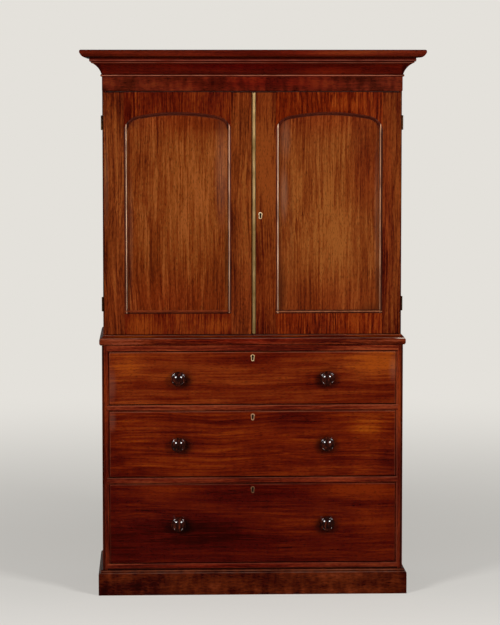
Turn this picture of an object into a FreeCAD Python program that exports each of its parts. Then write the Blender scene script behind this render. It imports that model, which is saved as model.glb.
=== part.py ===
import FreeCAD, Part
import math
import os

# Linen press: a chest of three long drawers with a two-door cupboard on it.
# Millimetres.  X runs along the width, -Y is the front, +Z is up, z = 0 is the floor.
# The origin is midway in the width and the depth, on the floor.

Vector = FreeCAD.Vector

# ---- heights, from the floor up ----
plinth_height = 99.0
bottom_rail_height = 23.5
drawer_opening_heights = [207.5, 259.0, 312.5]  # top, middle and bottom drawer
divider_heights = [23.5, 25.5]                  # under the top and the middle drawer
top_rail_height = 24.5
chest_top_thickness = 28.0
press_height = 951.0
frieze_height = 55.0
cavetto_height = 73.0
crown_height = 29.0

# ---- widths and depths ----
chest_width = 1166.0
press_inset = 5.5            # press side inside the chest side
press_depth = 490.5          # frieze face to the back
chest_step = 5.5             # chest front ahead of the frieze face
chest_side_thickness = 26.0
press_side_thickness = 20.0
back_board_thickness = 12.0
back_rebate_width = 13.0
housing_depth = 8.0
press_back_board_count = 6
chest_back_board_count = 4
back_board_gap = 1.0

# ---- plinth ----
plinth_projection = 17.0
plinth_board_depth = 15.0    # behind the chest faces
plinth_ovolo_radius = 8.0
plinth_fillet_projection = 8.0
plinth_fillet_height = 7.0
plinth_top_round = 5.0
plinth_back_rail_thickness = 20.0
plinth_block_size = 38.0
plinth_block_height = 72.0

# ---- chest inside ----
rail_depth = 70.0
runner_width = 45.0
dust_board_thickness = 8.0
dust_board_tongue = 6.0
kicker_width = 27.0
stop_height = 6.0
stop_length = 30.0
stop_depth = 12.0
stop_distance = 380.0        # from the middle of the width
stop_clearance = 0.2

# ---- waist ----
waist_projection = 10.0
waist_round = 9.0
base_moulding_height = 11.0
base_moulding_projection = 9.0
base_moulding_lip = 2.5
base_moulding_sag = 2.2

# ---- press carcass ----
press_board_thickness = 24.0   # top and bottom boards
door_thickness = 24.0
door_setback = 1.0             # door face behind the frieze face
door_plane_gap = 0.4           # door back to hinge axis, and hinge axis to case front

# ---- cornice ----
frieze_thickness = 22.0
frieze_edge_round = 3.0
bead_radius = 4.8
bead_projection = 6.0
cavetto_start = 2.0            # projection where the hollow starts
cavetto_end = 38.5             # projection where it ends
cavetto_rise = 42.6
cavetto_sag = 6.3
lower_fillet_projection = 41.0
lower_fillet_height = 5.6
upper_fillet_projection = 46.5 # at its edges
upper_fillet_swell = 1.2
soffit_projection = 65.5
cornice_projection = 84.5
crown_sag = 3.4
crown_nose_drop = 9.0          # extreme of the crown below its top
crown_top_round = 5.5
crown_backing = 10.0           # projection where the crown's back edge stands
cornice_board_thickness = 8.0
cornice_block_size = 40.0
cornice_back_rail_thickness = 20.0

# ---- doors ----
door_side_inset = 3.0          # door edge inside the press side
meeting_line_x = -3.6          # middle of the gap between the doors
meeting_gap = 2.0
door_bottom_gap = 3.0
door_top_gap = 3.5
door_edge_round = 1.2
left_outer_stile = 80.0
left_meeting_stile = 78.4
right_outer_stile = 73.0
bottom_rail_width = 80.0
crown_rail_width = 77.0
arch_corner_radius = 63.0
arch_crown_radius = 790.0
tenon_length = 45.0
tenon_thickness = 8.0
tenon_shoulder = 14.0
panel_recess = 10.0            # panel face behind the frame face
panel_thickness = 8.0
panel_tongue = 8.0
groove_clearance = 0.6
panel_moulding_width = 12.5
panel_moulding_rise = 3.0
panel_bead_width = 6.0
panel_bead_edge = 0.4            # edges of the bead ahead of the frame face
panel_step_width = 0.8           # step between the bead and the hollow
panel_step_drop = 1.4
panel_hollow_sag = 1.8
panel_toe = 1.2                  # thickness and margin at the foot of the hollow

# ---- hinges ----
hinge_length = 56.0
hinge_from_top = 117.5           # hinge middle below the door's top edge
hinge_from_bottom = 116.0        # hinge middle above the door's bottom edge
hinge_axis_offset = 1.2          # outside the press side
knuckle_radius = 4.3
hinge_pin_radius = 2.0
pin_clearance = 0.05
knuckle_count = 5
knuckle_gap = 0.3
leaf_thickness = 1.6
leaf_width = 18.0
knuckle_relief = 0.6
leaf_screw_head_radius = 3.0
leaf_screw_radius = 1.6
leaf_screw_length = 14.0
leaf_screw_pitch = 18.0

# ---- meeting strip and door lock ----
strip_width = 14.0
strip_thickness = 5.0
strip_edge = 1.2
strip_offset = 0.6
strip_end_gap = 2.5
door_lock_height = 70.0
door_lock_width = 48.0
door_lock_depth = 11.0
door_lock_centre = 457.7         # above the door's bottom edge
door_bolt_height = 24.0
door_bolt_thickness = 6.0
door_bolt_length = 30.0
door_bolt_throw = 10.0
door_bolt_set = 0.5              # bolt end inside the door edge at rest
door_keyhole_from_edge = 33.6

# ---- slide bolts on the left door ----
slide_bolt_radius = 3.0
slide_bolt_length = 110.0
slide_bolt_throw = 12.0
slide_bolt_rest_gap = 2.0
slide_bolt_from_edge = 28.0
slide_bolt_stand = 6.5           # rod axis behind the door back
bolt_plate_width = 26.0
bolt_plate_thickness = 1.8
bolt_plate_length = 96.0
bolt_staple_length = 12.0
bolt_staple_wall = 2.4
bolt_hole_clearance = 0.5
bolt_socket_clearance = 1.7      # round the bolt in the press boards
bolt_knob_radius = 3.2
bolt_knob_length = 9.0

# ---- keyholes ----
keyhole_head_radius = 4.6
keyhole_slot_half = 3.0
keyhole_drop = 12.5
escutcheon_wall = 3.0
escutcheon_depth = 4.0
escutcheon_proud = 0.4

# ---- drawers ----
drawer_side_gap = 2.0
drawer_top_gap = 2.0
drawer_bottom_gap = 1.5
drawer_running_gap = 0.2
drawer_front_thickness = 22.0
drawer_edge_round = 1.2
drawer_lap = 8.0                 # front left ahead of the dovetails
drawer_side_thickness = 12.0
drawer_side_set = 0.5            # side inside the front's end
drawer_side_top_drop = 4.0
drawer_length = 462.0
drawer_back_thickness = 12.0
drawer_back_inset = 8.0
drawer_back_housing = 4.0
drawer_back_top_drop = 12.0
drawer_bottom_thickness = 8.0
drawer_bottom_height = 10.0
drawer_groove_depth = 6.0
dovetail_counts = [3, 4, 5]
dovetail_slope = 2.6
dovetail_margin = 10.0
dovetail_pin_width = 9.0
drawer_lock_width = 60.0
drawer_lock_height = 44.0
drawer_lock_depth = 11.0
drawer_key_drop = 17.5           # keyhole head below the drawer's top edge
drawer_bolt_width = 24.0
drawer_bolt_thickness = 6.0
drawer_bolt_length = 22.0
drawer_bolt_throw = 8.0
drawer_bolt_set = 0.3            # bolt end below the drawer's top edge at rest
mortise_clearance = 1.0
lock_slide_clearance = 0.3

# ---- knobs ----
knob_distance = 289.0            # from the middle of the width
knob_radius = 28.5
knob_foot_radius = 17.0
knob_foot_height = 3.0
knob_neck_radius = 12.5
knob_neck_height = 9.0
knob_throat_radius = 20.0
knob_throat_height = 15.0
knob_rim_sag = 3.5
knob_rim_height = 25.0
knob_shoulder_sag = 1.3
knob_groove_outer = 24.5
knob_groove_inner = 20.5
knob_groove_depth = 1.8
knob_face_height = 30.0
knob_height = 36.5
knob_spigot_radius = 9.0
knob_spigot_clearance = 0.05

# ---- linen trays ----
tray_count = 4
first_tray_height = 48.0         # lowest bearer top above the press bottom board
tray_pitch = 213.0
bearer_width = 20.0
bearer_thickness = 15.0
bearer_front_setback = 40.0
bearer_back_gap = 8.0
tray_side_gap = 2.0
tray_running_gap = 0.2
tray_front_setback = 28.0        # tray front behind the case front
tray_length = 408.0
tray_side_height = 92.0
tray_dip_height = 62.0
tray_dip_half = 190.0
tray_dip_run = 60.0
tray_dip_sag = 4.3
tray_wall = 12.0
tray_front_thickness = 15.0
tray_bottom_height = 8.0
tray_bottom_thickness = 7.0
tray_housing = 5.0

# ---- modelling allowances ----
overrun = 1.0                    # how far a cutting shape passes through a face
tiny = 1e-6

# ---- values that follow from those above ----
chest_half = chest_width / 2
press_half = chest_half - press_inset
back_y = (press_depth + cornice_projection) / 2
frieze_y = back_y - press_depth
chest_front_y = frieze_y - chest_step
door_front_y = frieze_y + door_setback
door_back_y = door_front_y + door_thickness
hinge_y = door_back_y + door_plane_gap
case_front_y = hinge_y + door_plane_gap
back_board_y = back_y - back_board_thickness
hinge_x = press_half + hinge_axis_offset
chest_inner = chest_half - chest_side_thickness
press_inner = press_half - press_side_thickness

# tops of the rails that carry the drawers, and the ceilings over them
bottom_rail_top = plinth_height + bottom_rail_height
floor_bottom = bottom_rail_top
ceiling_bottom = floor_bottom + drawer_opening_heights[2]
floor_middle = ceiling_bottom + divider_heights[1]
ceiling_middle = floor_middle + drawer_opening_heights[1]
floor_top = ceiling_middle + divider_heights[0]
ceiling_top = floor_top + drawer_opening_heights[0]
drawer_floors = [floor_top, floor_middle, floor_bottom]
drawer_ceilings = [ceiling_top, ceiling_middle, ceiling_bottom]
chest_carcass_top = ceiling_top + top_rail_height
chest_top_z = chest_carcass_top + chest_top_thickness
press_top_z = chest_top_z + press_height
frieze_top_z = press_top_z + frieze_height
cavetto_top_z = frieze_top_z + cavetto_height
crown_top_z = cavetto_top_z + crown_height
door_bottom_z = chest_top_z + base_moulding_height + door_bottom_gap
door_top_z = press_top_z - door_top_gap
opening_bottom_z = door_bottom_z + bottom_rail_width
crown_z = door_top_z - crown_rail_width
press_floor_z = chest_top_z + press_board_thickness
press_ceiling_z = press_top_z - press_board_thickness

# door edges
door_half = press_half - door_side_inset
left_meeting_x = meeting_line_x - meeting_gap / 2
right_meeting_x = meeting_line_x + meeting_gap / 2

# both openings share one width and one arch: corner arcs tangent to the stiles and the crown arc
opening_half = (left_meeting_x + door_half - left_outer_stile - left_meeting_stile) / 2
corner_offset = opening_half - arch_corner_radius
arch_reach = arch_crown_radius - arch_corner_radius
arch_fall = math.sqrt(arch_reach ** 2 - corner_offset ** 2)
spring_z = crown_z - arch_crown_radius + arch_fall
arch_centre_z = spring_z - arch_fall


# ---- shape helpers ----
def block(x0, x1, y0, y1, z0, z1):
    """Box between two corners."""
    return Part.makeBox(x1 - x0, y1 - y0, z1 - z0, Vector(x0, y0, z0))


def rod(radius, start, end):
    """Cylinder from one point to another."""
    line = end - start
    return Part.makeCylinder(radius, line.Length, start, line)


def outline(steps, place):
    """Closed wire.  A step of two numbers is a straight run to that point,
    one of four numbers an arc through the first pair to the second."""
    edges = []
    here = place(*steps[0])
    for step in list(steps[1:]) + [steps[0]]:
        end = place(*step[-2:])
        if (end - here).Length < tiny:
            continue
        if len(step) == 4:
            edges.append(Part.Arc(here, place(*step[:2]), end).toShape())
        else:
            edges.append(Part.makeLine(here, end))
        here = end
    return Part.Wire(edges)


def bowed(start, end, sag):
    """Arc step from start to end, bowed out to the left of the way by sag."""
    run = end[0] - start[0]
    rise = end[1] - start[1]
    length = math.hypot(run, rise)
    return ((start[0] + end[0]) / 2 - rise / length * sag,
            (start[1] + end[1]) / 2 + run / length * sag, end[0], end[1])


def prism(steps, place, sweep):
    """Flat outline pushed along a vector."""
    return Part.Face(outline(steps, place)).extrude(sweep)


def plan_prism(points, z0, z1):
    """Outline in plan, between two heights."""
    return prism(points, lambda x, y: Vector(x, y, z0), Vector(0, 0, z1 - z0))


def mirrored(shape):
    """The same piece on the other side of the middle."""
    return shape.mirror(Vector(0, 0, 0), Vector(1, 0, 0))


def cut_all(shape, cutters):
    """Shape less every cutter."""
    if not cutters:
        return shape
    return shape.cut(Part.makeCompound(cutters))


def join(pieces):
    """Pieces made into one body with the seams removed."""
    whole = pieces[0].fuse(pieces[1:])
    return whole.removeSplitter()


nodes = {}


def keep(name, pieces):
    """Store the solids of one named node."""
    solids = []
    for piece in pieces:
        solids.extend(piece.Solids)
    nodes[name] = solids


def mitred_run(steps, half, face_y, front_back, side_back):
    """Moulding round the front and both sides: a front run and two returns, mitred.
    Steps are (projection, height) from the lowest visible point to the highest."""
    reach = cornice_projection + overrun
    z_low = steps[0][-1]
    z_high = steps[-1][-1]
    front_steps = list(steps) + [(-front_back, z_high), (-front_back, z_low)]
    side_steps = list(steps) + [(-side_back, z_high), (-side_back, z_low)]
    front = prism(front_steps, lambda p, z: Vector(-half - reach, face_y - p, z),
                  Vector(2 * (half + reach), 0, 0))
    right = prism(side_steps, lambda p, z: Vector(half + p, face_y - reach, z),
                  Vector(0, back_y - face_y + reach, 0))
    inner = half - side_back
    corner_y = face_y + side_back
    front_plan = [(-half - reach, face_y - reach), (half + reach, face_y - reach),
                  (inner, corner_y), (inner, face_y + front_back + overrun),
                  (-inner, face_y + front_back + overrun), (-inner, corner_y)]
    side_plan = [(half + reach, face_y - reach), (half + reach, back_y),
                 (inner, back_y), (inner, corner_y)]
    front = front.common(plan_prism(front_plan, z_low, z_high))
    right = right.common(plan_prism(side_plan, z_low, z_high))
    return [front, right, mirrored(right)]


# ---- plinth ----
ovolo_base_z = plinth_height - plinth_top_round - plinth_fillet_height - plinth_ovolo_radius
ovolo_top_z = ovolo_base_z + plinth_ovolo_radius
fillet_top_z = ovolo_top_z + plinth_fillet_height
diagonal = math.sqrt(0.5)        # sine and cosine of 45 degrees
plinth_steps = [
    (plinth_projection, 0.0),
    (plinth_projection, ovolo_base_z),
    (plinth_projection - plinth_ovolo_radius * (1 - diagonal),
     ovolo_base_z + plinth_ovolo_radius * diagonal,
     plinth_projection - plinth_ovolo_radius, ovolo_top_z),
    (plinth_fillet_projection, ovolo_top_z),
    (plinth_fillet_projection, fillet_top_z),
    (plinth_fillet_projection - plinth_top_round * (1 - diagonal),
     fillet_top_z + plinth_top_round * diagonal,
     plinth_fillet_projection - plinth_top_round, plinth_height),
]
plinth_runs = mitred_run(plinth_steps, chest_half, chest_front_y,
                         plinth_board_depth, plinth_board_depth)
plinth_inner = chest_half - plinth_board_depth
plinth_back_rail = block(-plinth_inner, plinth_inner, back_y - plinth_back_rail_thickness,
                         back_y, 0, plinth_height)
keep("plinth_front", [plinth_runs[0]])
keep("plinth_returns", [plinth_runs[1], plinth_runs[2], plinth_back_rail])

# ---- chest carcass ----
housing_x = chest_inner + housing_depth
rail_back_y = chest_front_y + rail_depth
rail_spans = [
    (plinth_height, bottom_rail_top),
    (ceiling_bottom, floor_middle),
    (ceiling_middle, floor_top),
    (ceiling_top, chest_carcass_top),
]


def bolt_mortise(ceiling_z):
    """Slot in a rail's underside for the lock bolt of the drawer below it."""
    half = drawer_bolt_width / 2 + mortise_clearance
    front = chest_front_y + drawer_front_thickness - drawer_lock_depth
    front += (drawer_lock_depth - drawer_bolt_thickness) / 2 - mortise_clearance
    depth = drawer_bolt_thickness + 2 * mortise_clearance
    height = drawer_bolt_throw + 2 * mortise_clearance
    return block(-half, half, front, front + depth, ceiling_z, ceiling_z + height)


chest_rails = []
for low, high in rail_spans:
    rail = block(-housing_x, housing_x, chest_front_y, rail_back_y, low, high)
    if low != plinth_height:
        rail = rail.cut(bolt_mortise(low))
    groove_z = (low + high - dust_board_thickness) / 2
    if high != chest_carcass_top:
        rail = rail.cut(block(-chest_inner + runner_width, chest_inner - runner_width,
                              rail_back_y - dust_board_tongue, rail_back_y,
                              groove_z, groove_z + dust_board_thickness))
    chest_rails.append(rail)
keep("chest_rails", chest_rails)

chest_side = block(chest_inner, chest_half, chest_front_y, back_y, plinth_height, chest_carcass_top)
side_cuts = [block(chest_inner, housing_x, chest_front_y, rail_back_y, low, high)
             for low, high in rail_spans]
side_cuts.append(block(chest_inner, chest_inner + back_rebate_width, back_board_y, back_y,
                       plinth_height, chest_carcass_top))
chest_side = cut_all(chest_side, side_cuts)
keep("chest_sides", [chest_side, mirrored(chest_side)])

runners = []
dust_boards = []
for low, high in rail_spans[:3]:
    runner = block(chest_inner - runner_width, chest_inner, rail_back_y, back_board_y, low, high)
    groove_z = (low + high - dust_board_thickness) / 2
    tongue_x = chest_inner - runner_width + dust_board_tongue
    board = block(-tongue_x, tongue_x, rail_back_y - dust_board_tongue, back_board_y,
                  groove_z, groove_z + dust_board_thickness)
    runner = runner.cut(board)
    board = board.cut(block(tongue_x - dust_board_tongue, tongue_x,
                            rail_back_y - dust_board_tongue, rail_back_y, low, high))
    board = board.cut(block(-tongue_x, dust_board_tongue - tongue_x,
                            rail_back_y - dust_board_tongue, rail_back_y, low, high))
    runners.extend([runner, mirrored(runner)])
    dust_boards.append(board)
kicker = block(chest_inner - kicker_width, chest_inner, rail_back_y, back_board_y,
               ceiling_top, chest_carcass_top)
runners.extend([kicker, mirrored(kicker)])
stop_y = chest_front_y + drawer_front_thickness + stop_clearance
for floor_z in drawer_floors:
    stop = block(stop_distance, stop_distance + stop_length, stop_y, stop_y + stop_depth,
                 floor_z, floor_z + stop_height)
    runners.extend([stop, mirrored(stop)])
keep("chest_runners", runners)
keep("chest_dust_boards", dust_boards)

chest_top = block(-chest_half, chest_half, chest_front_y, back_y, chest_carcass_top, chest_top_z)
keep("chest_top", [chest_top])


def back_boards(half, low, high, count):
    """Upright boards side by side across the back."""
    width = (2 * half - (count - 1) * back_board_gap) / count
    boards = []
    for number in range(count):
        left = -half + number * (width + back_board_gap)
        boards.append(block(left, left + width, back_board_y, back_y, low, high))
    return boards


keep("chest_back", back_boards(chest_inner + back_rebate_width, plinth_height,
                               chest_carcass_top, chest_back_board_count))

# ---- waist mouldings ----
waist_steps = [
    (0.0, chest_carcass_top),
    (waist_projection - waist_round, chest_carcass_top),
    (waist_projection - waist_round * (1 - diagonal), chest_carcass_top + waist_round * (1 - diagonal),
     waist_projection, chest_carcass_top + waist_round),
    (waist_projection, chest_top_z - waist_round),
    (waist_projection - waist_round * (1 - diagonal), chest_top_z - waist_round * (1 - diagonal),
     waist_projection - waist_round, chest_top_z),
    (0.0, chest_top_z),
]
keep("waist_moulding", mitred_run(waist_steps, chest_half, chest_front_y, 0.0, 0.0))

base_top_z = chest_top_z + base_moulding_height
base_lip = (base_moulding_projection, chest_top_z + base_moulding_lip)
base_steps = [
    (base_moulding_projection, chest_top_z),
    base_lip,
    bowed(base_lip, (0.0, base_top_z), base_moulding_sag),
]
base_depth = case_front_y - frieze_y
keep("press_base_moulding", mitred_run(base_steps, press_half, frieze_y, base_depth, 0.0))

# ---- press carcass ----
press_side = block(press_inner, press_half, case_front_y, back_y, chest_top_z, press_top_z)
press_boards = {
    "press_bottom": (chest_top_z, press_floor_z),
    "press_top": (press_ceiling_z, press_top_z),
}
press_cuts = [block(press_inner, press_inner + back_rebate_width, back_board_y, back_y,
                    chest_top_z, press_top_z)]
for name, (low, high) in press_boards.items():
    end_x = press_inner + housing_depth
    press_cuts.append(block(press_inner, end_x, case_front_y, back_board_y, low, high))
press_side = cut_all(press_side, press_cuts)

# slide bolt rods stand behind the left door's meeting stile
rod_x = left_meeting_x - slide_bolt_from_edge
rod_y = door_back_y + slide_bolt_stand
for name, (low, high) in press_boards.items():
    end_x = press_inner + housing_depth
    board = block(-end_x, end_x, case_front_y, back_board_y, low, high)
    hole_depth = slide_bolt_throw + slide_bolt_rest_gap
    if name == "press_top":
        hole_ends = (low - overrun, low + hole_depth)
    else:
        hole_ends = (high - hole_depth, high + overrun)
    hole = rod(slide_bolt_radius + bolt_socket_clearance,
               Vector(rod_x, rod_y, hole_ends[0]), Vector(rod_x, rod_y, hole_ends[1]))
    keep(name, [board.cut(hole)])

keep("press_back", back_boards(press_inner + back_rebate_width, chest_top_z,
                               press_top_z, press_back_board_count))

bearers = []
bearer_front_y = case_front_y + bearer_front_setback
tray_floors = [press_floor_z + first_tray_height + tray_pitch * number
               for number in range(tray_count)]
for floor_z in tray_floors:
    bearer = block(press_inner - bearer_width, press_inner, bearer_front_y,
                   back_board_y - bearer_back_gap, floor_z - bearer_thickness, floor_z)
    bearers.extend([bearer, mirrored(bearer)])
keep("tray_bearers", bearers)

# ---- frieze and cornice ----
frieze_steps = [
    (-frieze_edge_round, press_top_z),
    (-frieze_edge_round * (1 - diagonal), press_top_z + frieze_edge_round * (1 - diagonal),
     0.0, press_top_z + frieze_edge_round),
    (0.0, frieze_top_z),
]
keep("frieze", mitred_run(frieze_steps, press_half, frieze_y, frieze_thickness, frieze_thickness))

bead_centre_p = bead_projection - bead_radius
bead_top_z = frieze_top_z + 2 * bead_radius
hollow_top_z = bead_top_z + cavetto_rise
lower_fillet_top_z = hollow_top_z + lower_fillet_height
cavetto_steps = [
    (bead_centre_p, frieze_top_z),
    (bead_projection, frieze_top_z + bead_radius, bead_centre_p, bead_top_z),
    (cavetto_start, bead_top_z),
    bowed((cavetto_start, bead_top_z), (cavetto_end, hollow_top_z), cavetto_sag),
    (lower_fillet_projection, hollow_top_z),
    (lower_fillet_projection, lower_fillet_top_z),
    (upper_fillet_projection, lower_fillet_top_z),
    bowed((upper_fillet_projection, lower_fillet_top_z),
          (upper_fillet_projection, cavetto_top_z), -upper_fillet_swell),
]
keep("cornice_cavetto", mitred_run(cavetto_steps, press_half, frieze_y,
                                   frieze_thickness, frieze_thickness))

nose_z = crown_top_z - crown_nose_drop
crown_steps = [
    (soffit_projection, cavetto_top_z),
    bowed((soffit_projection, cavetto_top_z), (cornice_projection, nose_z), -crown_sag),
    (cornice_projection, crown_top_z - crown_top_round),
    (cornice_projection - crown_top_round * (1 - diagonal),
     crown_top_z - crown_top_round * (1 - diagonal),
     cornice_projection - crown_top_round, crown_top_z),
]
keep("cornice_crown", mitred_run(crown_steps, press_half, frieze_y,
                                 -crown_backing, -crown_backing))

# thin board on the cavetto moulding, inside the crown
board_half = press_half + crown_backing
keep("cornice_top", [block(-board_half, board_half, frieze_y - crown_backing, back_y,
                           cavetto_top_z, cavetto_top_z + cornice_board_thickness)])

# glue blocks inside the frieze and inside the plinth, and the rail closing the cornice's back
frieze_inner = press_half - frieze_thickness
frieze_back_y = frieze_y + frieze_thickness
blocks = []
for centre_x in (0.0, frieze_inner - cornice_block_size / 2):
    glue_block = block(centre_x - cornice_block_size / 2, centre_x + cornice_block_size / 2,
                       frieze_back_y, frieze_back_y + cornice_block_size,
                       press_top_z, frieze_top_z)
    blocks.append(glue_block)
    if centre_x:
        blocks.append(mirrored(glue_block))
rail_y = back_y - cornice_back_rail_thickness
blocks.append(block(-frieze_inner, frieze_inner, rail_y, back_y, press_top_z, cavetto_top_z))
plinth_front_back_y = chest_front_y + plinth_board_depth
for block_y in (plinth_front_back_y, back_y - plinth_back_rail_thickness - plinth_block_size):
    corner_block = block(plinth_inner - plinth_block_size, plinth_inner, block_y,
                         block_y + plinth_block_size,
                         plinth_height - plinth_block_height, plinth_height)
    blocks.extend([corner_block, mirrored(corner_block)])
middle_block = block(-plinth_block_size / 2, plinth_block_size / 2, plinth_front_back_y,
                     plinth_front_back_y + plinth_block_size,
                     plinth_height - plinth_block_height, plinth_height)
blocks.append(middle_block)
keep("glue_blocks", blocks)


# ---- hinges ----
def knuckle_spans(centre_z, own):
    """Heights of the case's (own = 0) or the door's (own = 1) knuckles."""
    pitch = hinge_length / knuckle_count
    spans = []
    for number in range(own, knuckle_count, 2):
        low = centre_z - hinge_length / 2 + number * pitch
        spans.append((low + knuckle_gap / 2, low + pitch - knuckle_gap / 2))
    return spans


def hinge_leaf(centre_z, own):
    """Right-hand leaf: a plate let into the wood, with its knuckles round the axis."""
    if own == 0:
        y0 = hinge_y + door_plane_gap
        y1 = y0 + leaf_thickness
    else:
        y1 = hinge_y - door_plane_gap
        y0 = y1 - leaf_thickness
    plate_end = hinge_x - knuckle_radius - knuckle_relief
    low = centre_z - hinge_length / 2
    high = centre_z + hinge_length / 2
    pieces = [block(plate_end - leaf_width, plate_end, y0, y1, low, high)]
    for z0, z1 in knuckle_spans(centre_z, own):
        pieces.append(block(plate_end - overrun, hinge_x - hinge_pin_radius - overrun,
                            y0, y1, z0, z1))
        pieces.append(rod(knuckle_radius, Vector(hinge_x, hinge_y, z0),
                          Vector(hinge_x, hinge_y, z1)))
    leaf = join(pieces)
    leaf = leaf.cut(rod(hinge_pin_radius + pin_clearance, Vector(hinge_x, hinge_y, low - overrun),
                        Vector(hinge_x, hinge_y, high + overrun)))
    return leaf.cut(Part.makeCompound(leaf_screws(centre_z, own)))


def leaf_screws(centre_z, own):
    """Countersunk screws of one right-hand leaf."""
    x = hinge_x - knuckle_radius - knuckle_relief - leaf_width / 2
    sign = 1 if own == 0 else -1
    y = hinge_y + sign * door_plane_gap
    screws = []
    for number in (-1, 0, 1):
        start = Vector(x, y, centre_z + number * leaf_screw_pitch)
        direction = Vector(0, sign, 0)
        head = Part.makeCone(leaf_screw_head_radius, leaf_screw_radius,
                             leaf_screw_head_radius - leaf_screw_radius, start, direction)
        shank = Part.makeCylinder(leaf_screw_radius, leaf_screw_length, start, direction)
        screws.append(head.fuse(shank).removeSplitter())
    return screws


def leaf_recess(centre_z, own):
    """Room a right-hand leaf and the whole barrel take from the wood."""
    low = centre_z - hinge_length / 2
    high = centre_z + hinge_length / 2
    plate_end = hinge_x - knuckle_radius - knuckle_relief
    if own == 0:
        y0 = hinge_y
        y1 = hinge_y + door_plane_gap + leaf_thickness
    else:
        y1 = hinge_y
        y0 = hinge_y - door_plane_gap - leaf_thickness
    plate = block(plate_end - leaf_width, hinge_x, y0, y1, low, high)
    barrel = rod(knuckle_radius + knuckle_relief, Vector(hinge_x, hinge_y, low),
                 Vector(hinge_x, hinge_y, high))
    return [plate, barrel] + leaf_screws(centre_z, own)


hinge_levels = [door_top_z - hinge_from_top, door_bottom_z + hinge_from_bottom]
case_hinge_pieces = []
door_hinge_pieces = []
case_recesses = []
door_recesses = []
for level in hinge_levels:
    case_hinge_pieces.append(hinge_leaf(level, 0))
    case_hinge_pieces.extend(leaf_screws(level, 0))
    case_hinge_pieces.append(rod(hinge_pin_radius,
                                 Vector(hinge_x, hinge_y, level - hinge_length / 2),
                                 Vector(hinge_x, hinge_y, level + hinge_length / 2)))
    door_hinge_pieces.append(hinge_leaf(level, 1))
    door_hinge_pieces.extend(leaf_screws(level, 1))
    case_recesses.extend(leaf_recess(level, 0))
    door_recesses.extend(leaf_recess(level, 1))
press_side = cut_all(press_side, case_recesses)
keep("press_sides", [press_side, mirrored(press_side)])
keep("case_hinges", case_hinge_pieces + [mirrored(piece) for piece in case_hinge_pieces])
keep("right_door_hinges", door_hinge_pieces)
keep("left_door_hinges", [mirrored(piece) for piece in door_hinge_pieces])


# ---- doors ----
def arch_steps(centre_x, grow):
    """Door opening with its three-centred arch, grown outward by an allowance."""
    half = opening_half + grow
    corner = arch_corner_radius + grow
    crown = arch_crown_radius + grow
    tangent_x = corner_offset / arch_reach
    tangent_z = arch_fall / arch_reach
    touch_x = tangent_x * crown
    touch_z = arch_centre_z + tangent_z * crown
    bisector = math.atan2(tangent_z, tangent_x) / 2
    knee_x = corner_offset + corner * math.cos(bisector)
    knee_z = spring_z + corner * math.sin(bisector)
    return [
        (centre_x - half, opening_bottom_z - grow),
        (centre_x + half, opening_bottom_z - grow),
        (centre_x + half, spring_z),
        (centre_x + knee_x, knee_z, centre_x + touch_x, touch_z),
        (centre_x, arch_centre_z + crown, centre_x - touch_x, touch_z),
        (centre_x - knee_x, knee_z, centre_x - half, spring_z),
    ]


def arch_solid(centre_x, grow, y0, y1):
    """The arched opening as a slab between two depths."""
    return prism(arch_steps(centre_x, grow), lambda x, z: Vector(x, y0, z), Vector(0, y1 - y0, 0))


def moulding_section(place):
    """Panel moulding's section.  First number: distance in from the opening's edge.
    Second number: height ahead of the frame face."""
    step_foot = (panel_bead_width + panel_step_width, -panel_step_drop)
    toe_top = panel_toe - panel_recess
    steps = [
        (0.0, -panel_recess),
        (0.0, panel_bead_edge),
        (panel_bead_width / 2, panel_moulding_rise, panel_bead_width, panel_bead_edge),
        step_foot,
        bowed(step_foot, (panel_moulding_width - panel_toe, toe_top), -panel_hollow_sag),
        (panel_moulding_width, toe_top),
        (panel_moulding_width, -panel_recess),
    ]
    return Part.Face(outline(steps, place))


def panel_moulding(centre_x):
    """Mitred moulding round one panel: sill, two uprights and the arched head."""
    left_x = centre_x - opening_half
    right_x = centre_x + opening_half
    wide = panel_moulding_width + overrun
    y0 = door_front_y - panel_moulding_rise - overrun
    y1 = door_front_y + panel_recess
    depth = Vector(0, y1 - y0, 0)
    sill = moulding_section(lambda u, v: Vector(left_x, door_front_y - v, opening_bottom_z + u))
    sill = sill.extrude(Vector(2 * opening_half, 0, 0))
    sill_plan = [(left_x, opening_bottom_z), (right_x, opening_bottom_z),
                 (right_x - wide, opening_bottom_z + wide), (left_x + wide, opening_bottom_z + wide)]
    sill = sill.common(prism(sill_plan, lambda x, z: Vector(x, y0, z), depth))
    upright = moulding_section(lambda u, v: Vector(left_x + u, door_front_y - v, opening_bottom_z))
    upright = upright.extrude(Vector(0, 0, spring_z - opening_bottom_z))
    upright_plan = [(left_x, opening_bottom_z), (left_x + wide, opening_bottom_z + wide),
                    (left_x + wide, spring_z), (left_x, spring_z)]
    upright = upright.common(prism(upright_plan, lambda x, z: Vector(x, y0, z), depth))
    other = upright.mirror(Vector(centre_x, 0, 0), Vector(1, 0, 0))
    # the head turns about the arch's three centres
    tangent = math.degrees(math.atan2(arch_fall, corner_offset))
    corner_x = centre_x + corner_offset
    corner = moulding_section(lambda u, v: Vector(right_x - u, door_front_y - v, spring_z))
    corner = corner.revolve(Vector(corner_x, 0, spring_z), Vector(0, -1, 0), tangent)
    crown_start = centre_x + arch_crown_radius
    crown = moulding_section(lambda u, v: Vector(crown_start - u, door_front_y - v, arch_centre_z))
    crown.rotate(Vector(centre_x, 0, arch_centre_z), Vector(0, -1, 0), tangent)
    crown = crown.revolve(Vector(centre_x, 0, arch_centre_z), Vector(0, -1, 0), 180 - 2 * tangent)
    head = join([crown, corner, corner.mirror(Vector(centre_x, 0, 0), Vector(1, 0, 0))])
    return [sill, upright, other, head]


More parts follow.
